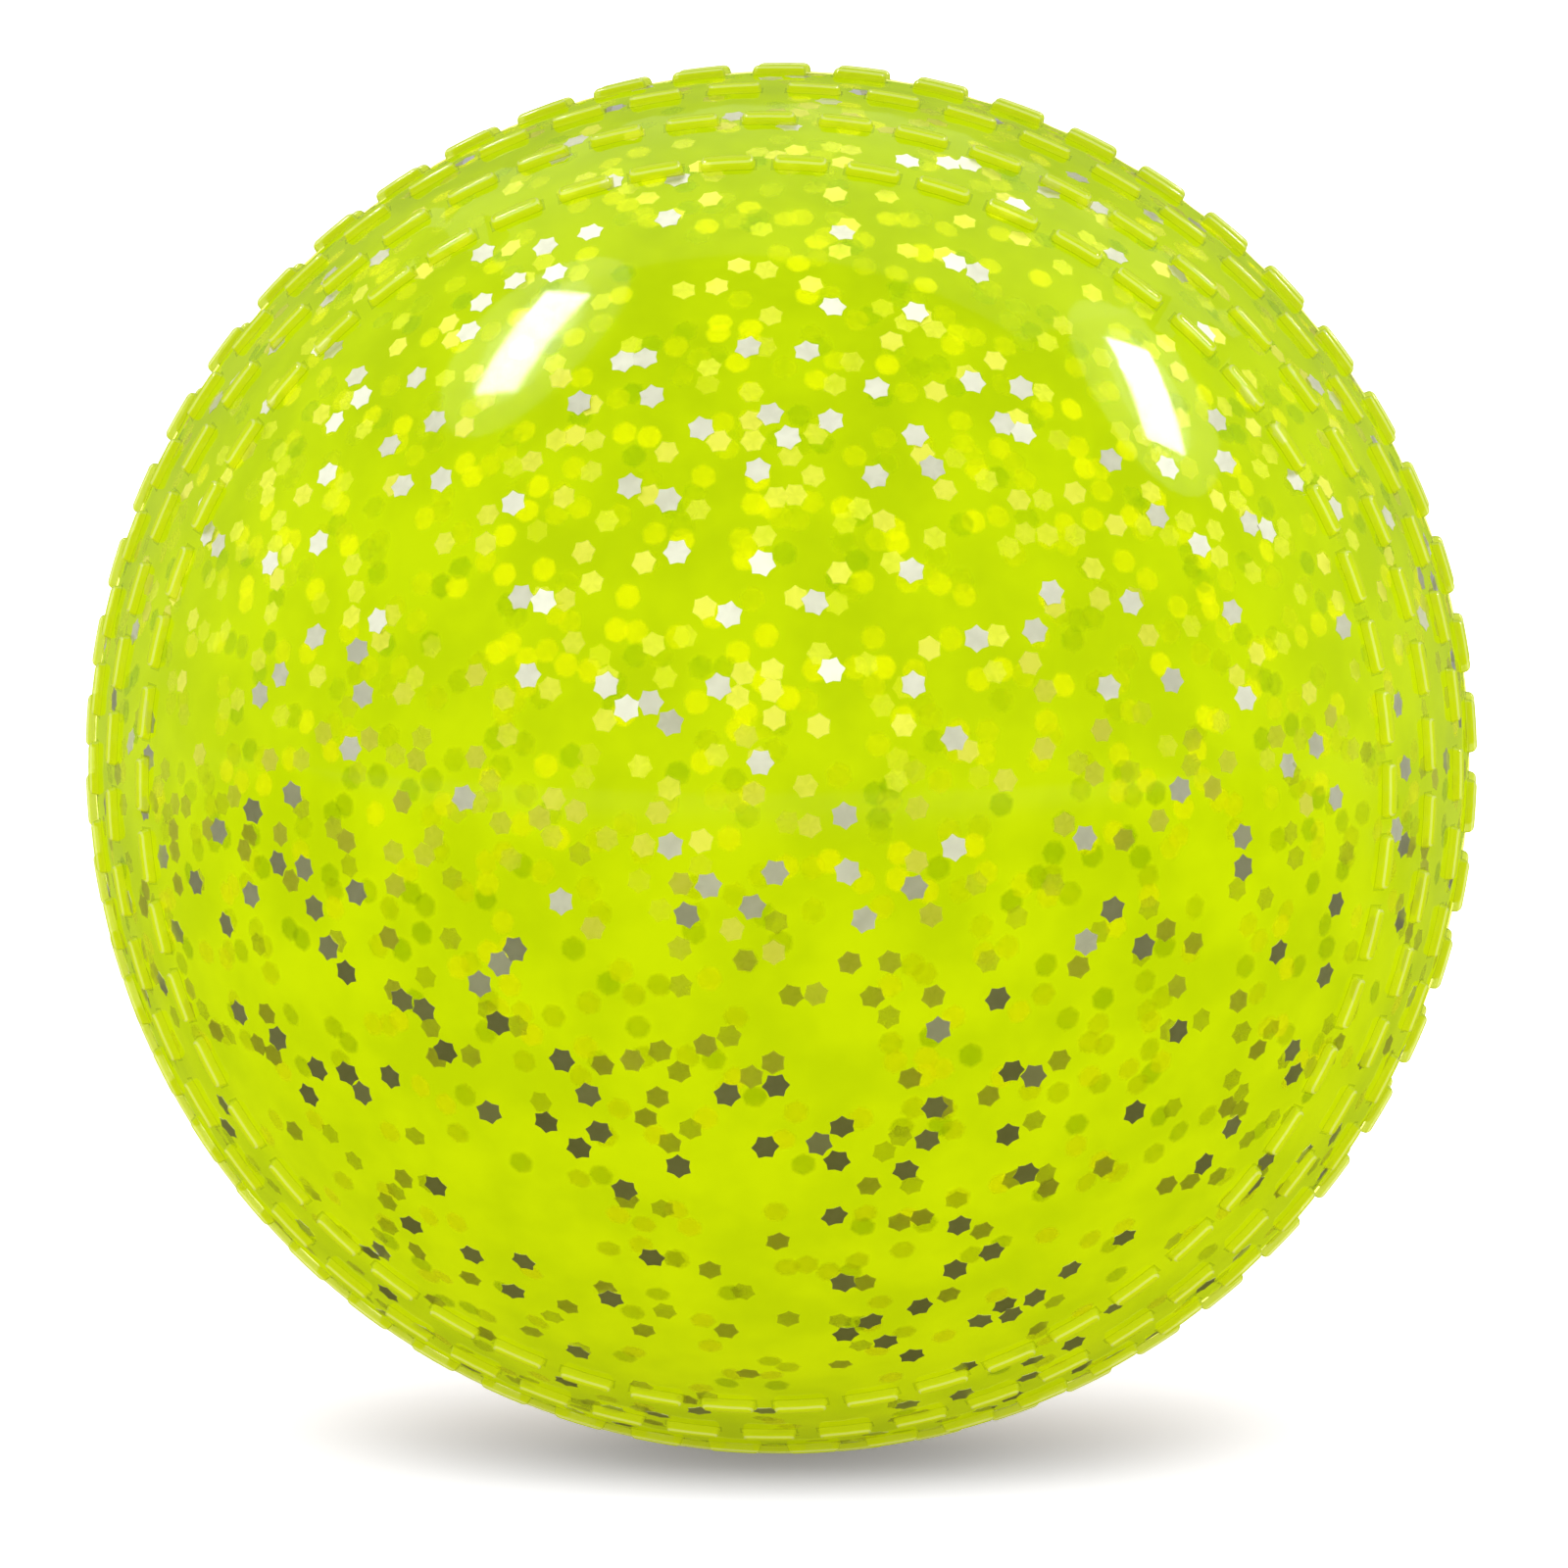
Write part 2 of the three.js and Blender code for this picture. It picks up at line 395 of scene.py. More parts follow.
@dataclass(frozen=True)
class Finish:
    """A look that pieces and the floor can wear."""

    name: str

    @cache
    def material(self) -> bpy.types.Material:
        """Builds the material once."""
        material = bpy.data.materials.new(self.name)
        material.use_nodes = True
        graph = Graph(material.node_tree)
        graph.add("OutputMaterial", Surface=self._surface(graph))
        return material

    def _surface(self, graph: Graph) -> Socket:
        """Adds the nodes of the look and returns its shader."""
        raise NotImplementedError


@dataclass(frozen=True)
class ClearFinish(Finish):
    """Clear glossy PVC that deepens in colour where it is seen along its surface."""

    across: Colour
    along: Colour
    deepening: float
    body: Colour = BLACK
    body_share: float = 0.0
    body_roughness: float = 0.6
    # emission of the body's pigment: a painted glow, as on the tinted wall
    glow: float = 0.0
    ior: float = 1.36
    most_gloss: float = 0.25
    polish: float = 0.05
    marks: float = 0.05
    ripple: float = 0.004 * MM

    def _surface(self, graph: Graph) -> Socket:
        """Adds a see-through face, pigment in its body and a gloss on its outside."""
        rough, normal = handled(graph, self.polish, self.marks, self.ripple)
        inside = graph.add("NewGeometry").outputs["Backfacing"]
        facing = graph.add("LayerWeight").outputs["Facing"]
        tint = graph.blend(graph.sum("POWER", facing, self.deepening), self.across, self.along)
        tint = graph.blend(inside, tint, WHITE)
        inner = graph.add("BsdfTransparent", Color=tint).outputs[0]
        if self.body_share:
            pigment = graph.add(
                "BsdfPrincipled",
                Base_Color=self.body,
                Roughness=self.body_roughness,
                Specular_IOR_Level=0.0,
                Emission_Color=self.body,
                Emission_Strength=self.glow,
            )
            inner = graph.mix(self.body_share, inner, pigment.outputs[0])
        gloss = graph.add("BsdfGlossy", Roughness=rough, Normal=normal)
        mirror = graph.add("Fresnel", IOR=self.ior, Normal=normal).outputs["Fac"]
        mirror = graph.sum("MINIMUM", mirror, self.most_gloss)
        share = graph.sum("MULTIPLY", mirror, graph.sum("SUBTRACT", 1.0, inside))
        return graph.mix(share, inner, gloss.outputs[0])


@dataclass(frozen=True)
class WallFinish(Finish):
    """Tinted PVC with a fluorescent pigment, clouded by how it was poured; its emission is partly
    fluorescence and partly a painted glow that stands in for light passing through the translucent ball.
    """

    light: Colour
    deep: Colour
    glow: Colour
    glow_deep: Colour
    fluorescence: float
    bounce: Colour
    roughness: float = 0.7
    cloud_scale: float = 190.0

    def _surface(self, graph: Graph) -> Socket:
        """Adds the pigment, its emission (partly fluorescence, partly a painted glow), and a calm cast on
        the floor.
        """
        cloud = clouded(graph, self.cloud_scale)
        wall = graph.add(
            "BsdfPrincipled",
            Base_Color=graph.blend(cloud, self.deep, self.light),
            Roughness=self.roughness,
            Specular_IOR_Level=0.0,
            # emission: partly fluorescence, partly a painted glow standing in for light through the ball
            Emission_Color=graph.blend(cloud, self.glow_deep, self.glow),
            Emission_Strength=self.fluorescence,
        )
        cast = graph.add("BsdfDiffuse", Color=self.bounce)
        onward = graph.add("LightPath").outputs["Is Diffuse Ray"]
        return graph.mix(onward, wall.outputs[0], cast.outputs[0])


@dataclass(frozen=True)
class FlakeFinish(Finish):
    """Glitter film, bare near the face of the ball and veiled by the PVC further down."""

    bright: Colour
    dull: Colour
    metal: float = 1.0
    least_cover: float = 1.0
    cover: float = 1.0
    softness: float = 0.0
    roughness: float = 0.38

    def _surface(self, graph: Graph) -> Socket:
        """Adds the film, by each flake's own tone and the distance from its rim."""
        tone = graph.add("Attribute", attribute_name="flake_tone").outputs["Fac"]
        film = graph.add(
            "BsdfPrincipled",
            Base_Color=graph.blend(tone, self.dull, self.bright),
            Metallic=self.metal,
            Roughness=self.roughness,
            Specular_IOR_Level=0.0,
        )
        if self.cover < 1.0:
            core = graph.add("Attribute", attribute_name="flake_core").outputs["Fac"]
            veiled = graph.ramp(tone, 0.0, 1.0, self.least_cover, self.cover)
            graph.feed(film.inputs["Alpha"], graph.ramp(core, 0.0, self.softness, 0.0, veiled))
        return film.outputs[0]


@dataclass(frozen=True)
class MouldedFinish(Finish):
    """Plain moulded PVC or cement, clouded and marked by handling."""

    light: Colour
    deep: Colour
    polish: float
    marks: float = 0.15
    ripple: float = 0.01 * MM
    cloud_scale: float = 400.0

    def _surface(self, graph: Graph) -> Socket:
        """Adds the clouded, marked face."""
        cloud = clouded(graph, self.cloud_scale)
        rough, normal = handled(graph, self.polish, self.marks, self.ripple)
        moulded = graph.add(
            "BsdfPrincipled",
            Base_Color=graph.blend(cloud, self.deep, self.light),
            Roughness=rough,
            Normal=normal,
        )
        return moulded.outputs[0]


@dataclass(frozen=True)
class FloorFinish(Finish):
    """A floor that is white to the camera, dimmer as a light on the ball, and shaded in mirrors, where its
    dim olive colour near the ball is a painted shade of the ball's shadow.
    """

    white: float
    fill: float
    bounce: Colour
    bounce_fill: Colour
    mirrored_near: Colour
    mirrored_front: float
    mirrored_back: float
    front_ends: Pair
    back_ends: Pair

    def _surface(self, graph: Graph) -> Socket:
        """Adds the floor as it is lit and as mirrors show it."""
        camera, mirrored = graph.looks()
        place = graph.add("NewGeometry").outputs["Position"]
        depth = graph.add("SeparateXYZ", Vector=place).outputs["Y"]
        behind = graph.ramp(depth, *self.back_ends)
        ahead = graph.ramp(depth, *self.front_ends, 1.0, 0.0)
        shade = graph.blend(camera, self.bounce, grey(self.white))
        matt = graph.add("BsdfDiffuse", Color=shade)
        fill = graph.add("Emission", Color=graph.blend(camera, self.bounce_fill, grey(self.fill)))
        lit = graph.feed_in_order(graph.add("AddShader"), (matt.outputs[0], fill.outputs[0]))
        # in mirrors: a painted olive shade near the ball, standing in for its shadow tinted by light
        # through the ball; dim grey further off
        seen = graph.blend(behind, self.mirrored_near, grey(self.mirrored_back))
        seen = graph.blend(ahead, seen, grey(self.mirrored_front))
        mirror = graph.add("Emission", Color=seen)
        return graph.mix(mirrored, lit.outputs[0], mirror.outputs[0])


CLEAR_FACE = ClearFinish(
    "clear_pvc_face", across=(0.97, 0.985, 0.80), along=(0.95, 1.0, 0.08), deepening=6.0
)
CLEAR_STITCH = ClearFinish(
    "clear_pvc_stitch",
    across=(0.96, 0.97, 0.45),
    along=(0.74, 0.84, 0.03),
    deepening=1.5,
    body=(0.64, 0.82, 0.005),
    body_share=0.72,
    # painted glow of the stitch pigment, matching the wall's
    glow=0.18,
    ior=1.45,
    polish=0.07,
)
# paler finish on the middle of each stitch's rounded top edge: a painted highlight line
PAINTED_HIGHLIGHT_EDGE = replace(
    CLEAR_STITCH,
    name="clear_pvc_live_edge",
    across=(0.97, 0.99, 0.60),
    along=(0.62, 0.70, 0.02),
    body=(0.80, 0.94, 0.20),
    body_share=0.65,
)
# darker finish on a thin ring round each stitch's foot: painted shade in the crease
CREASE = ClearFinish(
    "clear_pvc_crease",
    across=(0.84, 0.90, 0.20),
    along=(0.74, 0.82, 0.04),
    deepening=1.5,
    body=(0.50, 0.62, 0.0),
    body_share=0.25,
)
TINTED_WALL = WallFinish(
    "tinted_pvc_wall",
    light=(0.51, 0.715, 0.001),
    deep=(0.42, 0.61, 0.001),
    glow=(0.80, 0.88, 0.0),
    glow_deep=(0.74, 0.83, 0.0),
    # emission strength: partly fluorescence, partly a painted glow that lifts the lower half
    fluorescence=0.18,
    bounce=(0.10, 0.105, 0.09),
)
PLUG = MouldedFinish("plug_pvc", light=(0.50, 0.66, 0.02), deep=(0.40, 0.56, 0.01), polish=0.28)
CEMENT = MouldedFinish("cured_cement", light=(0.72, 0.70, 0.40), deep=(0.62, 0.60, 0.28), polish=0.35)
FLOOR = FloorFinish(
    "pale_floor",
    white=1.45,
    fill=0.15,
    bounce=(0.49, 0.44, 0.35),
    bounce_fill=(0.60, 0.52, 0.43),
    # painted shade of the floor near the ball, as mirrors show it
    mirrored_near=(0.125, 0.124, 0.02),
    mirrored_front=0.40,
    mirrored_back=0.20,
    front_ends=(-0.7, -0.15),
    back_ends=(-0.05, 0.25),
)


@dataclass(frozen=True)
class ClearDepth:
    """How deep the clear layer is: full over the caps, thinned to a skin beside the seam."""

    full: float
    skin: float
    skin_latitudes: Pair = (math.radians(10), math.radians(15))

    def share(self, latitude: float) -> float:
        """Works out which share of its full depth the layer has at a latitude."""
        low, high = self.skin_latitudes
        rise = clamp((latitude - low) / (high - low))
        least = self.skin / self.full
        return least + (1 - least) * rise * rise * (3 - 2 * rise)


class Zone(IntEnum):
    """The parts of a clear face, each with the place of its material."""

    SMOOTH = 0
    STITCH = 1
    # EDGE: the middle of a stitch's rounded top edge, which wears a painted highlight line
    EDGE = 2
    # CREASE: a thin ring round a stitch's foot, which wears painted shade
    CREASE = 3


@dataclass
class ClearFace:
    """The clear outer layer of one cup, with its rows of moulded stitches."""

    cup: Cup
    radius: float
    thickness: float
    hole_radius: float
    rows: int = 4
    stitches_per_row: int = 54
    row_spacing: float = 5.0 * MM
    stitch_length: float = 2.75 * MM
    stitch_width: float = 0.95 * MM
    stitch_height: float = 0.45 * MM
    stitch_draft: float = 0.08 * MM
    stitch_corner: float = 0.28 * MM
    corner_segments: int = 2
    stitch_edge: float = 0.24 * MM
    edge_segments: int = 3
    edge_slopes: Pair = (0.5, 0.9)
    # width of the ring round a stitch's foot that wears the painted crease shade
    crease: float = 0.10 * MM
    patch_border: float = 0.4 * MM
    cap_rings: int = 18
    inner_rings: int = 24
    sharp_degrees: float = 38.0

    @property
    def pitch(self) -> float:
        """Distance from one stitch to the next along the seam."""
        return 2 * math.pi * self.radius / self.stitches_per_row

    @property
    def band(self) -> float:
        """Width of the stitched band, from the seam along the ball."""
        return self.rows * self.row_spacing

    @property
    def last_ring(self) -> float:
        """Distance along the ball from the seam to the pole, or to the edge of the plug's hole."""
        return self.radius * math.acos(self.hole_radius / self.radius)

    def build(self, finishes: tuple[ClearFinish, ...]) -> Piece:
        """Models the layer laid out flat, wraps it on the ball and dresses its zones in their finishes."""
        face = self._stitch_on_patch()
        wear(face, *(finish.material() for finish in finishes))
        apply_modifier(
            face,
            "ARRAY",
            count=self.stitches_per_row,
            relative_offset_displace=(1, 0, 0),
            use_merge_vertices=True,
            merge_threshold=TOUCH,
        )
        self._lay_rows(face)
        self._extend(face)
        for vertex in face.data.vertices:
            vertex.co = self._on_ball(vertex.co)
        close_up(face)
        smooth(face, self.sharp_degrees)
        return face

    def _zone(self, polygon: bpy.types.MeshPolygon) -> Zone:
        """Says which zone a face of the patch belongs to: faces at middle slopes of a stitch's top edge
        take the painted highlight, and the flat ring round its foot takes the painted crease shade.
        """
        centre = polygon.center
        if centre.z > TOUCH:
            steep, gentle = self.edge_slopes
            return Zone.EDGE if steep < polygon.normal.z < gentle else Zone.STITCH
        along = abs(centre.x) < self.stitch_length / 2 + self.crease
        across = abs(centre.y) < self.stitch_width / 2 + self.crease
        return Zone.CREASE if along and across else Zone.SMOOTH

    def _stitch_on_patch(self) -> Piece:
        """Models one stitch in the middle of its flat patch of the face."""
        name = f"{self.cup.label}_clear_face"
        patch = primitive("grid", name, x_subdivisions=2, y_subdivisions=1, size=self.pitch)
        edit(patch)
        resize(1, self.row_spacing / self.pitch)
        bpy.ops.mesh.inset(thickness=self.patch_border)
        inner_length = self.pitch - 2 * self.patch_border
        inner_width = self.row_spacing - 2 * self.patch_border
        creased_length = self.stitch_length + 2 * self.crease
        creased_width = self.stitch_width + 2 * self.crease
        resize(creased_length / inner_length, creased_width / inner_width)
        bpy.ops.mesh.inset(thickness=self.crease)
        extrude(z=self.stitch_height)
        drawn_in = 2 * self.stitch_draft
        resize(1 - drawn_in / self.stitch_length, 1 - drawn_in / self.stitch_width)
        pick(patch, Element.EDGE, self._is_upright_corner)
        bpy.ops.mesh.bevel(offset=self.stitch_corner, segments=self.corner_segments, affect="EDGES")
        pick(patch, Element.EDGE, self._is_top_edge)
        bpy.ops.mesh.bevel(offset=self.stitch_edge, segments=self.edge_segments, affect="EDGES")
        done()
        for polygon in patch.data.polygons:
            polygon.material_index = self._zone(polygon)
        return patch

    def _is_upright_corner(self, ends: list[Vector]) -> bool:
        """True for the upright edges at a stitch's four corners."""
        rises = abs(ends[0].z - ends[1].z) > TOUCH
        return rises and min(abs(end.x) for end in ends) > self.stitch_length / 4

    def _is_top_edge(self, ends: list[Vector]) -> bool:
        """True for the edges round a stitch's top."""
        on_top = all(end.z > self.stitch_height - TOUCH for end in ends)
        crosses = all(abs(end.x) < TOUCH for end in ends)
        return on_top and not crosses

    def _lay_rows(self, face: Piece) -> None:
        """Copies the first row beside itself, each row half a stitch further on."""
        face.data.transform(Matrix.Translation((0, self.row_spacing / 2, 0)))
        copies = []
        for row in range(1, self.rows):
            mesh = face.data.copy()
            mesh.transform(Matrix.Translation((row * self.pitch / 2, row * self.row_spacing, 0)))
            copies.append(added(face.name, mesh))
        activate(face)
        for copy in copies:
            copy.select_set(True)
        bpy.ops.object.join()

    def _extend(self, face: Piece) -> None:
        """Carries the flat band on to the pole, round the rim at the seam and back inside."""
        edit(face)
        bpy.ops.mesh.remove_doubles(threshold=TOUCH)
        pick(face, Element.VERT, lambda points: abs(points[0].y - self.band) < TOUCH)
        for _ in range(self.cap_rings):
            extrude(y=(self.last_ring - self.band) / self.cap_rings)
        if self.hole_radius:
            extrude(z=-self.thickness)
        pick(face, Element.VERT, lambda points: abs(points[0].y) < TOUCH)
        extrude(z=-self.thickness)
        for _ in range(self.inner_rings):
            extrude(y=self.last_ring / self.inner_rings)
        done()

    def _on_ball(self, flat: Vector) -> Vector:
        """Wraps a point of the flat layer on the ball, with every stitch kept at its full length.

        The flat layer has X along the seam, Y away from it and Z above the ball's face.
        """
        row = math.floor(flat.y / self.row_spacing)
        centre_y = (row + 0.5) * self.row_spacing
        along = flat.x
        if row < self.rows and abs(flat.y - centre_y) < self.row_spacing / 2 - TOUCH:
            stitch = round(flat.x / self.pitch - row / 2)
            centre_x = (stitch + row / 2) * self.pitch
            along = centre_x + (flat.x - centre_x) / math.cos(centre_y / self.radius)
        latitude = flat.y / self.radius
        longitude = along / self.radius
        distance = self.radius + flat.z
        ring = distance * math.cos(latitude)
        height = self.cup.value * distance * math.sin(latitude)
        return Vector((ring * math.sin(longitude), height, ring * math.cos(longitude)))


@dataclass
class TintedWall:
    """The tinted wall of one cup, under its clear layer."""

    cup: Cup
    radius: float
    clear: ClearDepth
    thickness: float
    hole_radius: float
    segments: int = 128
    rings: int = 90
    seam_gap: float = 0.02 * MM
    rim_round: float = 0.2 * MM
    rim_degrees: float = 50.0
    sharp_degrees: float = 40.0

    def build(self, finish: WallFinish) -> Piece:
        """Models the wall as a half ball with a thickness, and dresses it."""
        wall = primitive(
            "uv_sphere",
            f"{self.cup.label}_tinted_wall",
            segments=self.segments,
            ring_count=self.rings,
            radius=self.radius,
            rotation=(math.pi / 2, 0, 0),
        )
        for vertex in wall.data.vertices:
            latitude = math.asin(min(1.0, abs(vertex.co.y) / self.radius))
            vertex.co *= 1 - self.clear.full * self.clear.share(latitude) / self.radius
        edit(wall)
        side = self.cup.value
        bpy.ops.mesh.bisect(
            plane_co=(0, side * self.seam_gap, 0), plane_no=(0, -side, 0), clear_outer=True
        )
        pick(wall, Element.VERT, lambda points: math.hypot(points[0].x, points[0].z) < self.hole_radius)
        bpy.ops.mesh.delete(type="VERT")
        done()
        apply_modifier(wall, "SOLIDIFY", thickness=self.thickness, offset=-1.0)
        round_edges(wall, self.rim_round, self.rim_degrees)
        smooth(wall, self.sharp_degrees)
        wear(wall, finish.material())
        return wall


@dataclass(frozen=True)
class FlakeLayer:
    """The flakes at one depth: their finish, depths, number and form."""

    finish: FlakeFinish
    depths: Pair
    per_square_mm: float
    across: float
    spacing: float
    waist: float
    lower_share: float
    seed: int


class FlakeDepth(Labelled):
    """The three depths at which glitter lies in the wall of the ball."""

    NEAR = FlakeLayer(
        FlakeFinish("bare_glitter", bright=(0.97, 0.97, 0.95), dull=(0.66, 0.66, 0.60)),
        depths=(0.14 * MM, 0.17 * MM),
        per_square_mm=0.058,
        across=1.40 * MM,
        spacing=1.1 * MM,
        waist=0.77,
        lower_share=0.9,
        seed=11,
    )
    MIDDLE = FlakeLayer(
        FlakeFinish(
            "veiled_glitter",
            bright=(0.96, 0.95, 0.14),
            dull=(0.84, 0.92, 0.02),
            metal=0.95,
            least_cover=0.26,
            cover=0.74,
            softness=0.15,
        ),
        depths=(0.22 * MM, 0.27 * MM),
        per_square_mm=0.16,
        across=1.36 * MM,
        spacing=0.9 * MM,
        waist=0.81,
        lower_share=0.5,
        seed=23,
    )
    DEEP = FlakeLayer(
        FlakeFinish(
            "sunk_glitter",
            bright=(0.74, 0.78, 0.0),
            dull=(0.20, 0.36, 0.0),
            metal=0.3,
            least_cover=0.32,
            cover=0.38,
            softness=0.35,
        ),
        depths=(0.33 * MM, 0.36 * MM),
        per_square_mm=0.32,
        across=1.50 * MM,
        spacing=0.65 * MM,
        waist=0.93,
        lower_share=0.4,
        seed=37,
    )


@dataclass
class Glitter:
    """The flakes at one depth in one cup."""

    cup: Cup
    depth: FlakeDepth
    radius: float
    clear: ClearDepth
    hole_radius: float
    band_latitude: float = math.radians(32)
    band_share: float = 0.75
    lower_ends: Pair = (-0.45, 0.1)
    lowest_latitude: float = math.radians(1.5)
    tilt: float = math.radians(8)
    film: float = 0.03 * MM
    points: int = 12
    unevenness: float = 0.2

    @property
    def layer(self) -> FlakeLayer:
        """What the flakes of this depth are like."""
        return self.depth.value

    def build(self) -> Piece:
        """Scatters copies of one flake through the cup and joins them."""
        flake = self._flake()
        corners = [vertex.co.copy() for vertex in flake.data.vertices]
        faces = [tuple(face.vertices) for face in flake.data.polygons]
        bpy.data.objects.remove(flake)
        inner = self.layer.across * self.layer.waist / 2
        vertices, polygons, tones, cores = [], [], [], []
        chance = random.Random(self.layer.seed + self.cup.value)
        for place in self._places(chance):
            start = len(vertices)
            turn = self._turn(place, chance)
            tone = chance.random()
            for corner in corners:
                uneven = tone + chance.uniform(-self.unevenness, self.unevenness)
                vertices.append(place + turn @ corner)
                tones.append(clamp(uneven))
                cores.append(1.0 - min(1.0, math.hypot(corner.x, corner.y) / inner))
            polygons += [tuple(start + i for i in face) for face in faces]
        name = f"{self.cup.label}_{self.depth.label}_glitter"
        mesh = bpy.data.meshes.new(name)
        mesh.from_pydata(vertices, [], polygons)
        for label, values in (("flake_tone", tones), ("flake_core", cores)):
            mesh.attributes.new(label, "FLOAT", "POINT").data.foreach_set("value", values)
        glitter = added(name, mesh)
        wear(glitter, self.layer.finish.material())
        return glitter

    def _flake(self) -> Piece:
        """Models one flake: a thin six-pointed plate with drawn-in sides."""
        radius = self.layer.across / 2
        flake = primitive("circle", "flake", vertices=self.points, radius=radius, fill_type="TRIFAN")
        edit(flake)
        pick(flake, Element.VERT, self._is_side_point)
        resize(self.layer.waist, self.layer.waist)
        bpy.ops.mesh.select_all(action="SELECT")
        extrude(z=self.film)
        done()
        close_up(flake)
        return flake

    def _is_side_point(self, points: list[Vector]) -> bool:
        """True for every second point of a flake's rim."""
        point = points[0]
        step = round(math.atan2(point.y, point.x) / (2 * math.pi / self.points))
        return math.hypot(point.x, point.y) > TOUCH and step % 2 == 1

    def _places(self, chance: random.Random) -> list[Vector]:
        """Picks the flakes' centres, none closer than the spacing."""
        area = 2 * math.pi * (self.radius / MM) ** 2
        lowest = math.sin(self.lowest_latitude)
        narrowest = (self.hole_radius + self.layer.across / 2) / self.radius if self.hole_radius else 0.0
        places: list[Vector] = []
        for _ in range(round(self.layer.per_square_mm * area)):
            height = chance.random()
            turn = chance.uniform(0, 2 * math.pi)
            ring = math.sqrt(1 - height * height)
            kept = chance.random() < self._share(height, ring * math.cos(turn))
            depth = chance.uniform(*self.layer.depths)
            distance = self.radius - depth * self.clear.share(math.asin(height))
            outward = Vector((ring * math.sin(turn), self.cup.value * height, ring * math.cos(turn)))
            place = distance * outward
            if not kept or height < lowest or ring < narrowest:
                continue
            if all((place - other).length > self.layer.spacing for other in places):
                places.append(place)
        return places

    def _share(self, height: float, rise: float) -> float:
        """Gives the share of flakes kept at a height off the seam plane and a rise over the centre."""
        band = 1.0 if height > math.sin(self.band_latitude) else self.band_share
        low, high = self.lower_ends
        upper = clamp((rise - low) / (high - low))
        return band * (self.layer.lower_share + (1 - self.layer.lower_share) * upper)

    def _turn(self, place: Vector, chance: random.Random) -> Matrix:
        """Lays a flake nearly flat under the face, turned and tilted at random, and flatter in the skin."""
        share = self.clear.share(math.asin(abs(place.y) / place.length))
        flat = place.to_track_quat("Z", "Y").to_matrix()
        press = Matrix.Diagonal((1, 1, share))
        spin = Matrix.Rotation(chance.uniform(0, 2 * math.pi), 3, "Z")
        tilt = Matrix.Rotation(share * chance.uniform(-self.tilt, self.tilt), 3, "X")
        return flat @ press @ spin @ tilt


@dataclass
class AirPlug:
    """The moulded plug that closes the filling hole in the rear cap."""

    radius: float
    head_radius: float
    head_thickness: float
    shank_radius: float
    shank_length: float
    sides: int = 48
    rim: float = 0.55 * MM
    groove_width: float = 0.4 * MM
    groove_depth: float = 0.2 * MM
    dimple_radius: float = 0.7 * MM
    dimple_depth: float = 0.5 * MM
    dimple_taper: float = 0.6
    shank_taper: float = 0.7
    edge_round: float = 0.08 * MM
    edge_degrees: float = 40.0
    sharp_degrees: float = 35.0

    def build(self, finish: MouldedFinish) -> Piece:
        """Models the plug upright, seats it in the rear cap and dresses it."""
        plug = primitive(
            "circle", "moulded_air_plug", vertices=self.sides, radius=self.head_radius, fill_type="NGON"
        )
        edit(plug)
        extrude(z=self.head_thickness)
        bpy.ops.mesh.inset(thickness=self.rim)
        extrude(z=-self.groove_depth)
        bpy.ops.mesh.inset(thickness=self.groove_width)
        extrude(z=self.groove_depth)
        pad_radius = self.head_radius - self.rim - self.groove_width
        bpy.ops.mesh.inset(thickness=pad_radius - self.dimple_radius)
        extrude(z=-self.dimple_depth)
        resize(self.dimple_taper, self.dimple_taper)
        pick(plug, Element.FACE, lambda ring: all(abs(point.z) < TOUCH for point in ring))
        bpy.ops.mesh.inset(thickness=self.head_radius - self.shank_radius)
        extrude(z=-self.shank_length)
        resize(self.shank_taper, self.shank_taper)
        done()
        close_up(plug)
        round_edges(plug, self.edge_round, self.edge_degrees)
        for vertex in plug.data.vertices:
            if vertex.co.z > 0:
                vertex.co.z -= (vertex.co.x**2 + vertex.co.y**2) / (2 * self.radius)
        stands = Matrix.Rotation(-math.pi / 2, 4, "X")
        plug.data.transform(Matrix.Translation((0, self.radius - self.head_thickness, 0)) @ stands)
        smooth(plug, self.sharp_degrees)
        wear(plug, finish.material())
        return plug


@dataclass(frozen=True)
class Strip:
    """A strip softbox placed by the highlight that it makes on the ball.

    Its halos are wider lamps behind it, each with how much wider it is and how bright its face is.
    """

    name: str
    start_px: Pixel
    end_px: Pixel
    width: float
    radiance: float = 36.0
    distance: float = 1.8
    halos: tuple[Pair, ...] = ((1.7, 3.0), (3.2, 1.3))


class Lights(Enum):
    """What a lamp lights."""

    EVERYTHING = 0
    GLOSS = 1
    GLITTER = 2
    FLOOR = 3


@dataclass(frozen=True)
class Panel:
    """A broad softbox in a direction from the ball, which faces it, or faces up if it lies flat."""

    name: str
    direction: Direction
    size: Pair
    radiance: float
    lights: Lights = Lights.EVERYTHING
    distance: float = 2.4
    in_reflections: bool = True
    lies_flat: bool = False


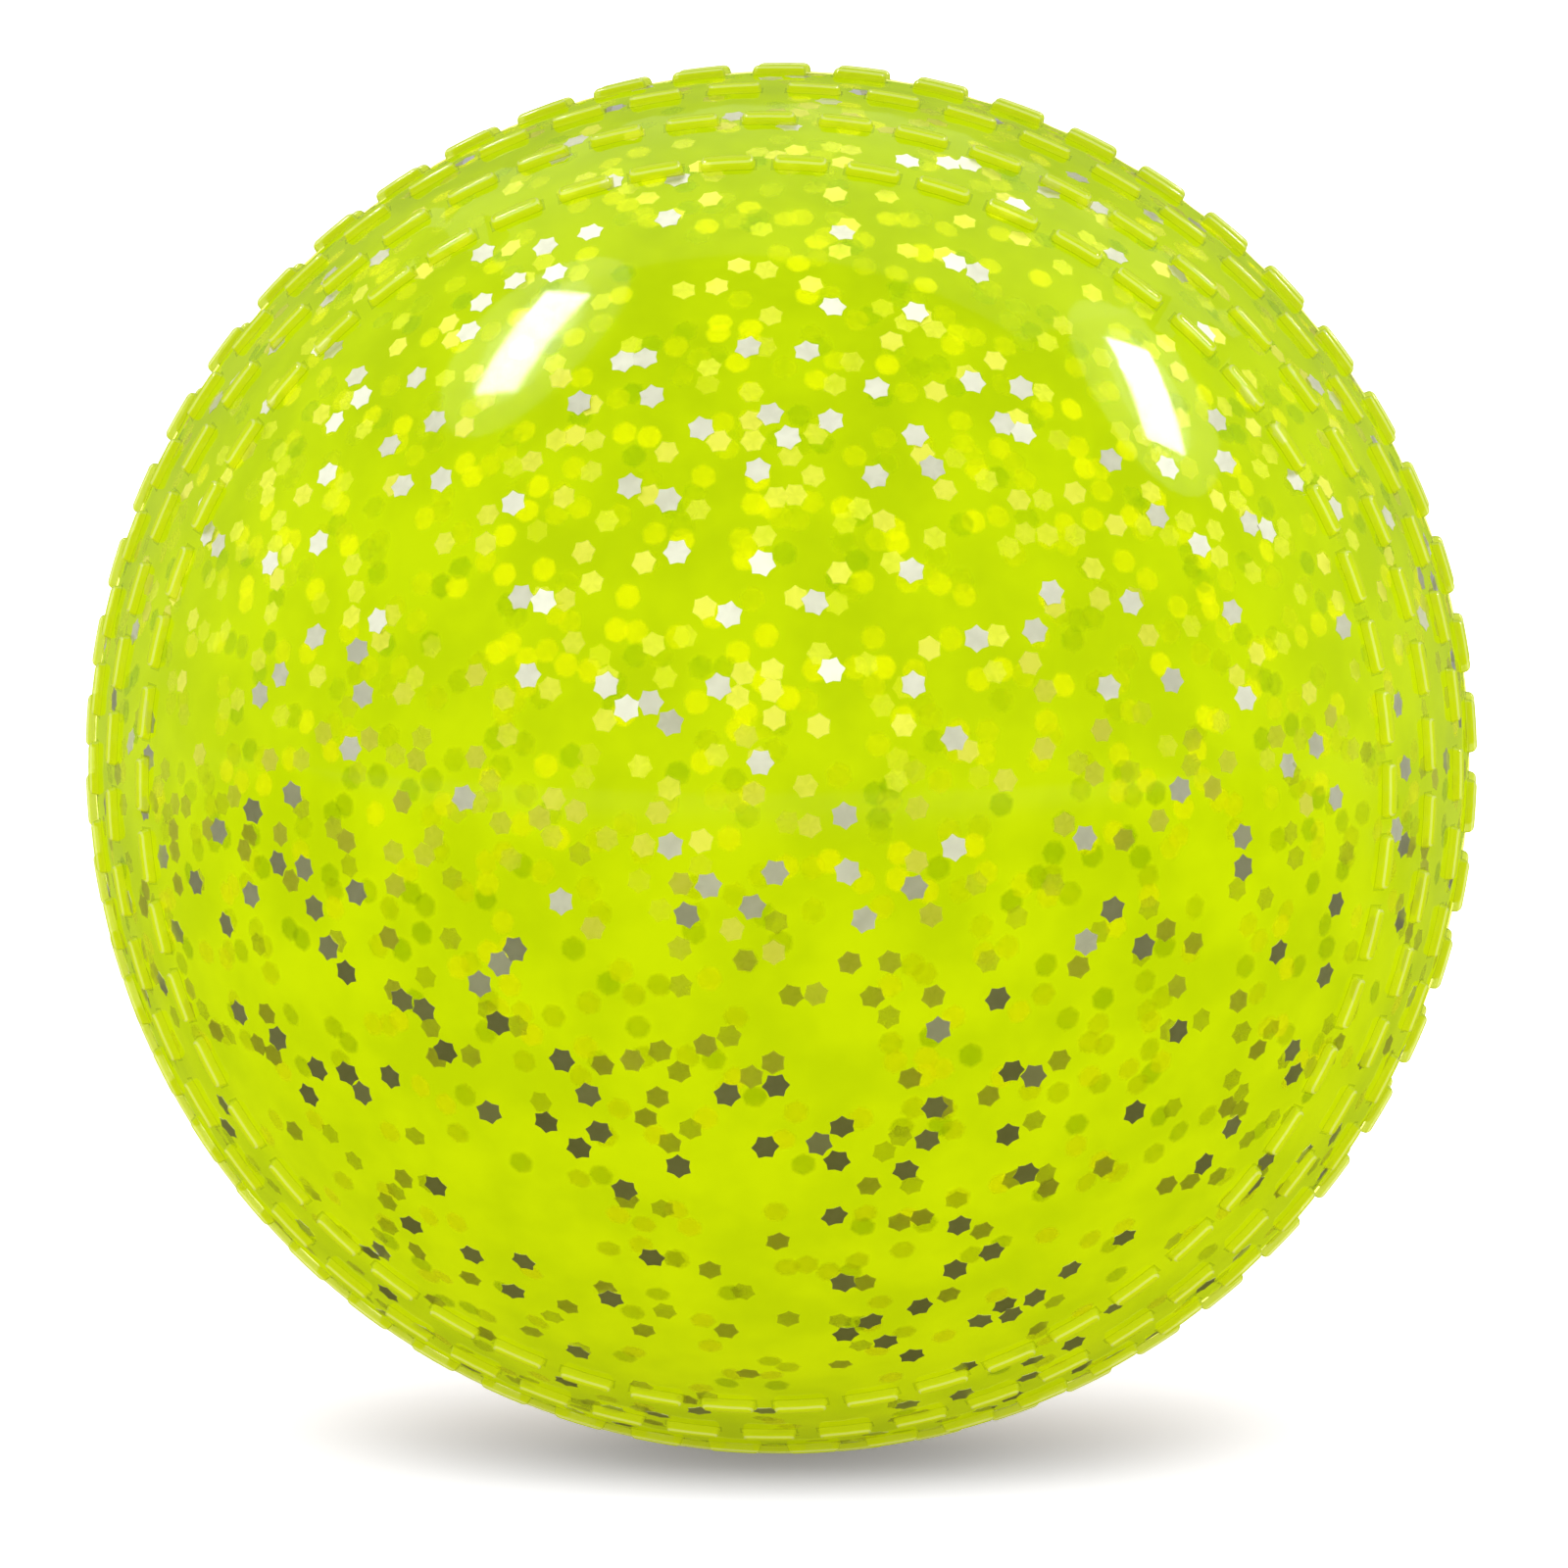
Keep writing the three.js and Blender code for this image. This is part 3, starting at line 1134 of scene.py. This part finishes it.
@dataclass
class Studio:
    """The camera, the lamps, the white surroundings and the floor."""

    ball_radius: float
    floor_height: float
    image_px: int = 1600
    centre_px: Pixel = (797.7, 774.2)
    outline_px: float = 702.0
    azimuth: float = math.radians(3)
    elevation: float = math.radians(5)
    camera_distance: float = 0.6
    floor_size: float = 6.0
    sweep_share: float = 0.5
    sweep_segments: int = 12
    sharp_degrees: float = 30.0
    ambient: float = 0.63
    room_ends: Pair = (-0.2, 0.7)
    room_front: float = 0.08
    room_back: float = 0.20
    strips: tuple[Strip, ...] = (
        Strip("left_strip", start_px=(580, 298), end_px=(505, 400), width=0.21),
        Strip("right_strip", start_px=(1150, 350), end_px=(1190, 455), width=0.20),
    )
    panels: tuple[Panel, ...] = (
        Panel("key_panel", (0.0, -0.75, 0.66), (1.8, 1.5), 1.1, in_reflections=False),
        Panel("back_panel", (0.05, 0.50, 0.86), (3.0, 2.2), 0.4),
        Panel("left_panel", (-0.95, 0.15, 0.35), (1.6, 1.6), 1.3, in_reflections=False),
        Panel("right_panel", (0.95, 0.15, 0.35), (1.6, 1.6), 1.1, in_reflections=False),
        Panel("floor_panel", (0.0, -0.66, 0.75), (2.6, 1.8), 1.6, Lights.FLOOR, distance=2.5),
        Panel("front_glitter_panel", (0.0, -0.86, 0.50), (5.0, 2.7), 1.12, Lights.GLITTER),
        Panel(
            "low_glitter_panel",
            (0.0, -0.995, -0.103),
            (1.2, 0.45),
            0.65,
            Lights.GLITTER,
            distance=0.332,
            lies_flat=True,
        ),
        Panel("left_glitter_panel", (-0.88, 0.25, 0.42), (4.0, 2.2), 1.0, Lights.GLITTER),
        Panel("right_glitter_panel", (0.88, 0.25, 0.42), (4.0, 2.2), 1.0, Lights.GLITTER),
        Panel("top_glitter_panel", (0.0, 0.15, 1.0), (4.0, 3.0), 1.05, Lights.GLITTER),
    )

    def build(self, faces: list[Piece], glitter: list[Piece]) -> None:
        """Sets everything up: the strips light only the glossy faces, and some panels only the glitter."""
        self._camera()
        self._world()
        lit_alone = {
            Lights.GLOSS: self._group("lit_gloss", faces),
            Lights.GLITTER: self._group("lit_glitter", glitter),
            Lights.FLOOR: self._group("lit_floor", [self._floor()]),
        }
        for strip in self.strips:
            for lamp in self._strip(strip):
                lamp.light_linking.receiver_collection = lit_alone[Lights.GLOSS]
        for panel in self.panels:
            centre = Vector(panel.direction).normalized() * panel.distance
            back = -UP if panel.lies_flat else centre.normalized()
            lamp = self._lamp(panel.name, centre, back, UP.cross(centre), panel.size, panel.radiance)
            lamp.visible_glossy = panel.in_reflections
            lamp.light_linking.receiver_collection = lit_alone.get(panel.lights)

    def _group(self, name: str, pieces: list[Piece]) -> bpy.types.Collection:
        """Makes a collection of pieces for lamps that light nothing else."""
        group = bpy.data.collections.new(name)
        for piece in pieces:
            group.objects.link(piece)
        return group

    def _axes(self) -> tuple[Vector, Vector, Vector]:
        """Works out the camera's right, up and backward directions."""
        level, rise = math.cos(self.elevation), math.sin(self.elevation)
        back = Vector((level * math.sin(self.azimuth), -level * math.cos(self.azimuth), rise))
        right = UP.cross(back).normalized()
        return right, back.cross(right), back

    @property
    def _focal_px(self) -> float:
        """Focal length in pixels that gives the ball its outline in the photograph."""
        return self.outline_px / math.tan(math.asin(self.ball_radius / self.camera_distance))

    def _eye(self) -> Vector:
        """The camera's place, with the ball where the photograph has it."""
        right, up, back = self._axes()
        across, down = (
            (self.image_px / 2 - place) * self.camera_distance / self._focal_px for place in self.centre_px
        )
        return back * self.camera_distance + right * across - up * down

    def _camera(self) -> None:
        """Adds the camera."""
        right, up, back = self._axes()
        data = bpy.data.cameras.new("camera")
        data.lens = self._focal_px * data.sensor_width / self.image_px
        camera = added("camera", data)
        camera.matrix_world = standing(self._eye(), right, up, back)
        bpy.context.scene.camera = camera

    def _mirrored(self, pixel: Pixel, distance: float) -> Vector:
        """Finds the point, at a distance from the ball's face, that it mirrors to the camera at a pixel."""
        right, up, back = self._axes()
        half = self.image_px / 2
        ray = right * (pixel[0] - half) + up * (half - pixel[1]) - back * self._focal_px
        ray.normalize()
        eye = self._eye()
        nearest = eye.dot(ray)
        reach = -nearest - math.sqrt(nearest**2 - eye.length_squared + self.ball_radius**2)
        place = eye + ray * reach
        normal = place.normalized()
        return place + (ray - 2 * ray.dot(normal) * normal) * distance

    def _strip(self, strip: Strip) -> list[Piece]:
        """Adds a strip softbox and its halos where their highlight needs them, and returns them."""
        start = self._mirrored(strip.start_px, strip.distance)
        end = self._mirrored(strip.end_px, strip.distance)
        along = end - start
        centre = (start + end) / 2
        back = centre.normalized()
        size = (along.length, strip.width)
        lamps = [self._lamp(strip.name, centre, back, along, size, strip.radiance)]
        for wider, radiance in strip.halos:
            size = (along.length + strip.width * (wider - 1), strip.width * wider)
            lamps.append(self._lamp(f"{strip.name}_halo", centre, back, along, size, radiance, "ELLIPSE"))
        for lamp in lamps:
            lamp.visible_diffuse = False
        return lamps

    def _lamp(
        self,
        name: str,
        centre: Vector,
        back: Vector,
        along: Vector,
        size: Pair,
        radiance: float,
        shape: str = "RECTANGLE",
    ) -> Piece:
        """Adds an area lamp that the camera doesn't see, and returns it.

        Its back faces one direction and its first side lies along another. Radiance is its brightness.
        """
        data = bpy.data.lights.new(name, "AREA")
        data.shape = shape
        data.size, data.size_y = size
        area = size[0] * size[1] * (math.pi / 4 if shape == "ELLIPSE" else 1)
        data.energy = radiance * math.pi * area
        lamp = added(name, data)
        lamp.visible_camera = False
        side = (along - along.dot(back) * back).normalized()
        lamp.matrix_world = standing(centre, side, back.cross(side), back)
        return lamp

    def _world(self) -> None:
        """Makes the surroundings white to look at, dark in mirrors and dim as a light."""
        world = bpy.data.worlds.new("white_room")
        world.use_nodes = True
        graph = Graph(world.node_tree)
        camera, mirrored = graph.looks()
        toward = graph.add("TexCoord").outputs["Generated"]
        depth = graph.add("SeparateXYZ", Vector=toward).outputs["Y"]
        room = graph.ramp(depth, *self.room_ends, self.room_front, self.room_back)
        lit = graph.sum("SUBTRACT", 1.0, graph.sum("MAXIMUM", camera, mirrored))
        strength = graph.sum("MULTIPLY", mirrored, room)
        strength = graph.sum("MULTIPLY_ADD", lit, self.ambient, strength)
        strength = graph.sum("ADD", strength, camera)
        white = graph.add("Background", Color=WHITE, Strength=strength)
        graph.add("OutputWorld", Surface=white.outputs[0])
        bpy.context.scene.world = world

    def _floor(self) -> Piece:
        """Adds the floor, with a sweep behind it, and returns it."""
        floor = primitive("plane", "floor", size=self.floor_size, location=(0, 0, self.floor_height))
        edit(floor)
        half = self.floor_size / 2
        far, low = half - TOUCH, self.floor_height + TOUCH
        pick(floor, Element.EDGE, lambda ends: all(end.y > far for end in ends))
        extrude(z=half)
        pick(floor, Element.EDGE, lambda ends: all(end.y > far and end.z < low for end in ends))
        bpy.ops.mesh.bevel(offset=half * self.sweep_share, segments=self.sweep_segments, affect="EDGES")
        done()
        smooth(floor, self.sharp_degrees)
        wear(floor, FLOOR.material())
        floor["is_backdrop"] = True
        return floor


@dataclass
class WindBall:
    """The whole ball, in sizes taken from its solids."""

    frame: dict[str, dict]
    clear_thickness: float = 0.45 * MM
    skin_thickness: float = 0.09 * MM
    layer_gap: float = 0.02 * MM
    wall_thickness: float = 4.0 * MM
    plug_clearance: float = 0.15 * MM
    wall_hole_radius: float = 2.5 * MM
    plug_shank_share: float = 4 / 7

    def __post_init__(self) -> None:
        """Reads the ball's radius and the plug's head from the solids."""
        low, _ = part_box("front_half_shell")
        self.radius = -low[1]
        plug_low, plug_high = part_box("air_plug")
        self.plug_head_radius = (plug_high[0] - plug_low[0]) / 2
        self.plug_length = plug_high[1] - plug_low[1]
        self.faces: list[Piece] = []
        self.glitter: list[Piece] = []

    def build(self) -> None:
        """Builds and dresses every piece."""
        for cup in Cup:
            self._cup(cup)
        plug = AirPlug(
            self.radius,
            self.plug_head_radius,
            head_thickness=self.clear_thickness,
            shank_radius=self.plug_head_radius * self.plug_shank_share,
            shank_length=self.plug_length - self.clear_thickness,
        ).build(PLUG)
        declare(plug, PLUG_SLOT, "air_plug")
        wear(self.frame["nodes"]["cement_ring"], CEMENT.material())

    def _cup(self, cup: Cup) -> None:
        """Builds one cup: its clear face, its wall and its glitter."""
        open_at_pole = cup is Cup.REAR
        hole = self.plug_head_radius + self.plug_clearance if open_at_pole else 0.0
        finishes = (CLEAR_FACE, CLEAR_STITCH, PAINTED_HIGHLIGHT_EDGE, CREASE)
        face = ClearFace(cup, self.radius, self.clear_thickness, hole).build(finishes)
        self.faces.append(face)
        let_lamps_through(face)
        declare(face, WALL_SLOT, f"{cup.label}_half_shell")
        clear = ClearDepth(self.clear_thickness + self.layer_gap, self.skin_thickness)
        wall_hole = self.wall_hole_radius if open_at_pole else 0.0
        wall = TintedWall(cup, self.radius, clear, self.wall_thickness, wall_hole).build(TINTED_WALL)
        declare(wall, WALL_SLOT)
        for depth in FlakeDepth:
            flakes = Glitter(cup, depth, self.radius, clear, hole).build()
            let_lamps_through(flakes)
            declare(flakes, WALL_SLOT)
            self.glitter.append(flakes)


def main() -> None:
    """Builds the ball and its studio, with the floor under the ball's lowest point."""
    logging.basicConfig(level=logging.INFO, format="%(message)s")
    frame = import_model()
    ball = WindBall(frame)
    ball.build()
    low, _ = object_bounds()
    Studio(ball.radius, low[2]).build(ball.faces, ball.glitter)
    scene = bpy.context.scene
    scene.view_settings.view_transform = "Standard"
    scene.cycles.transparent_max_bounces = CLEAR_BOUNCES


if __name__ == "__main__":
    main()
